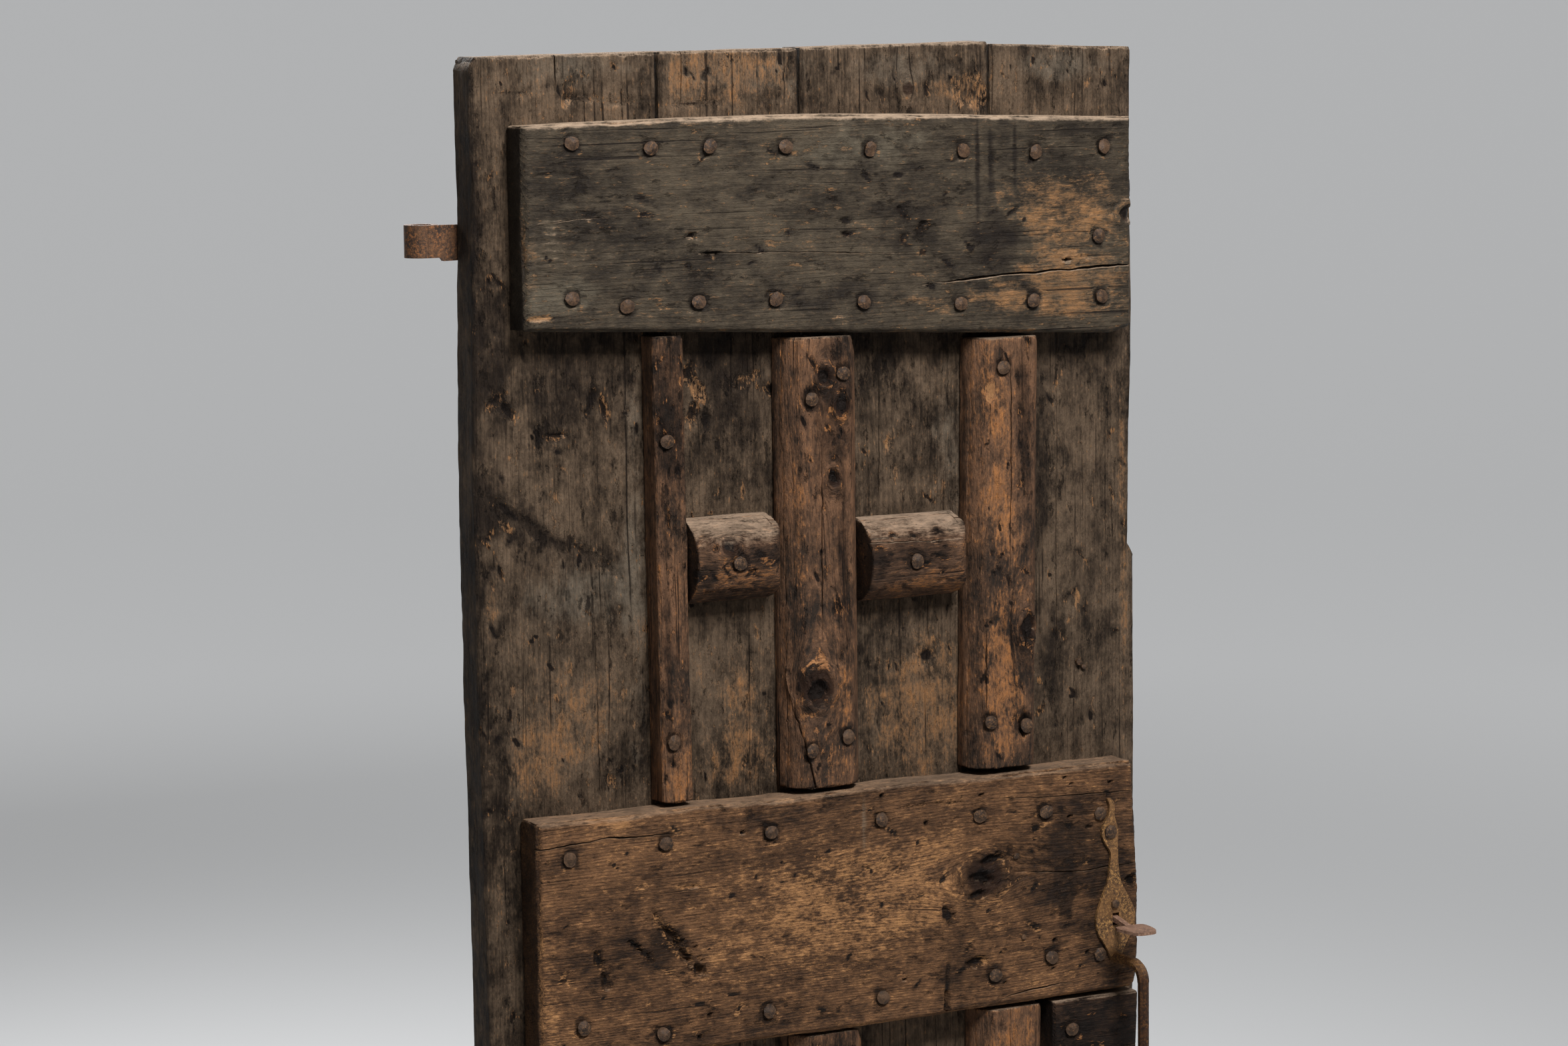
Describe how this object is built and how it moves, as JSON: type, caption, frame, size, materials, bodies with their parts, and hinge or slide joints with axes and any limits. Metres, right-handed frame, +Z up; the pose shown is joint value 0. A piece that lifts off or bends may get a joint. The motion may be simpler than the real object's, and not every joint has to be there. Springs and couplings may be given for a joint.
{
  "type": "plank door leaf",
  "caption": "Old ledged plank door leaf of heavy pine with hewn cover strips, half-log blocks, forged nails, rolled-eye strap hinges and a working thumb latch.",
  "frame": {"origin": "middle of the lower hinge eye, on the swing axis", "axes": "+Z up along the swing axis, +X from the hinge edge to the latch edge, +Y from the front face to the back"},
  "size_m": [0.975, 0.2135, 2.065],
  "materials": {
    "board_pine": "weathered, dark brown-grey, ochre where rubbed",
    "top_ledge_pine": "weathered, grey-black with a dull sheen",
    "middle_ledge_pine": "weathered, warm brown with fine open grain",
    "strip_pine": "weathered, red-brown with ochre and black patches",
    "block_pine": "weathered, charred, pale on top",
    "nail_iron": "forged, rusted dark",
    "hinge_iron": "forged, rusted brown",
    "latch_iron": "forged, rusted ochre-brown",
    "thumb_iron": "forged, worn rust"
  },
  "bodies": {
    "leaf": {"hinge_board": "board_pine", "second_board": "board_pine", "third_board": "board_pine", "latch_board": "board_pine", "top_ledge": "top_ledge_pine", "middle_ledge": "middle_ledge_pine", "bottom_ledge": "middle_ledge_pine", "upper_first_strip": "strip_pine", "upper_second_strip": "strip_pine", "upper_third_strip": "strip_pine", "lower_first_strip": "strip_pine", "lower_second_strip": "strip_pine", "lower_third_strip": "strip_pine", "left_block": "block_pine", "right_block": "block_pine", "lock_block": "block_pine", "top_ledge_nails": "nail_iron", "middle_ledge_nails": "nail_iron", "bottom_ledge_nails": "nail_iron", "strip_nails": "nail_iron", "block_nails": "nail_iron", "upper_hinge_strap": "hinge_iron", "lower_hinge_strap": "hinge_iron", "hinge_nails": "nail_iron", "latch_handle": "latch_iron", "latch_nails": "nail_iron", "thumb_pivot_pin": "nail_iron", "bar_pivot_stud": "nail_iron", "bar_staple": "nail_iron"},
    "thumb_lever": {"thumb_lever": "thumb_iron"},
    "latch_bar": {"latch_bar": "hinge_iron"}
  },
  "joints": [
    {"name": "thumb_press", "type": "hinge", "parent": "leaf", "child": "thumb_lever", "pos_m": [0.873, -0.1095, 0.77], "axis": [1, 0, 0], "range_deg": [0, 10]},
    {"name": "bar_lift", "type": "hinge", "parent": "leaf", "child": "latch_bar", "pos_m": [0.688, -0.0162, 0.7869], "axis": [0, -1, 0], "range_deg": [0, 5.5]}
  ],
  "couplings": [
    {"joint": "bar_lift", "follows": "thumb_press", "ratio": 0.5464}
  ]
}
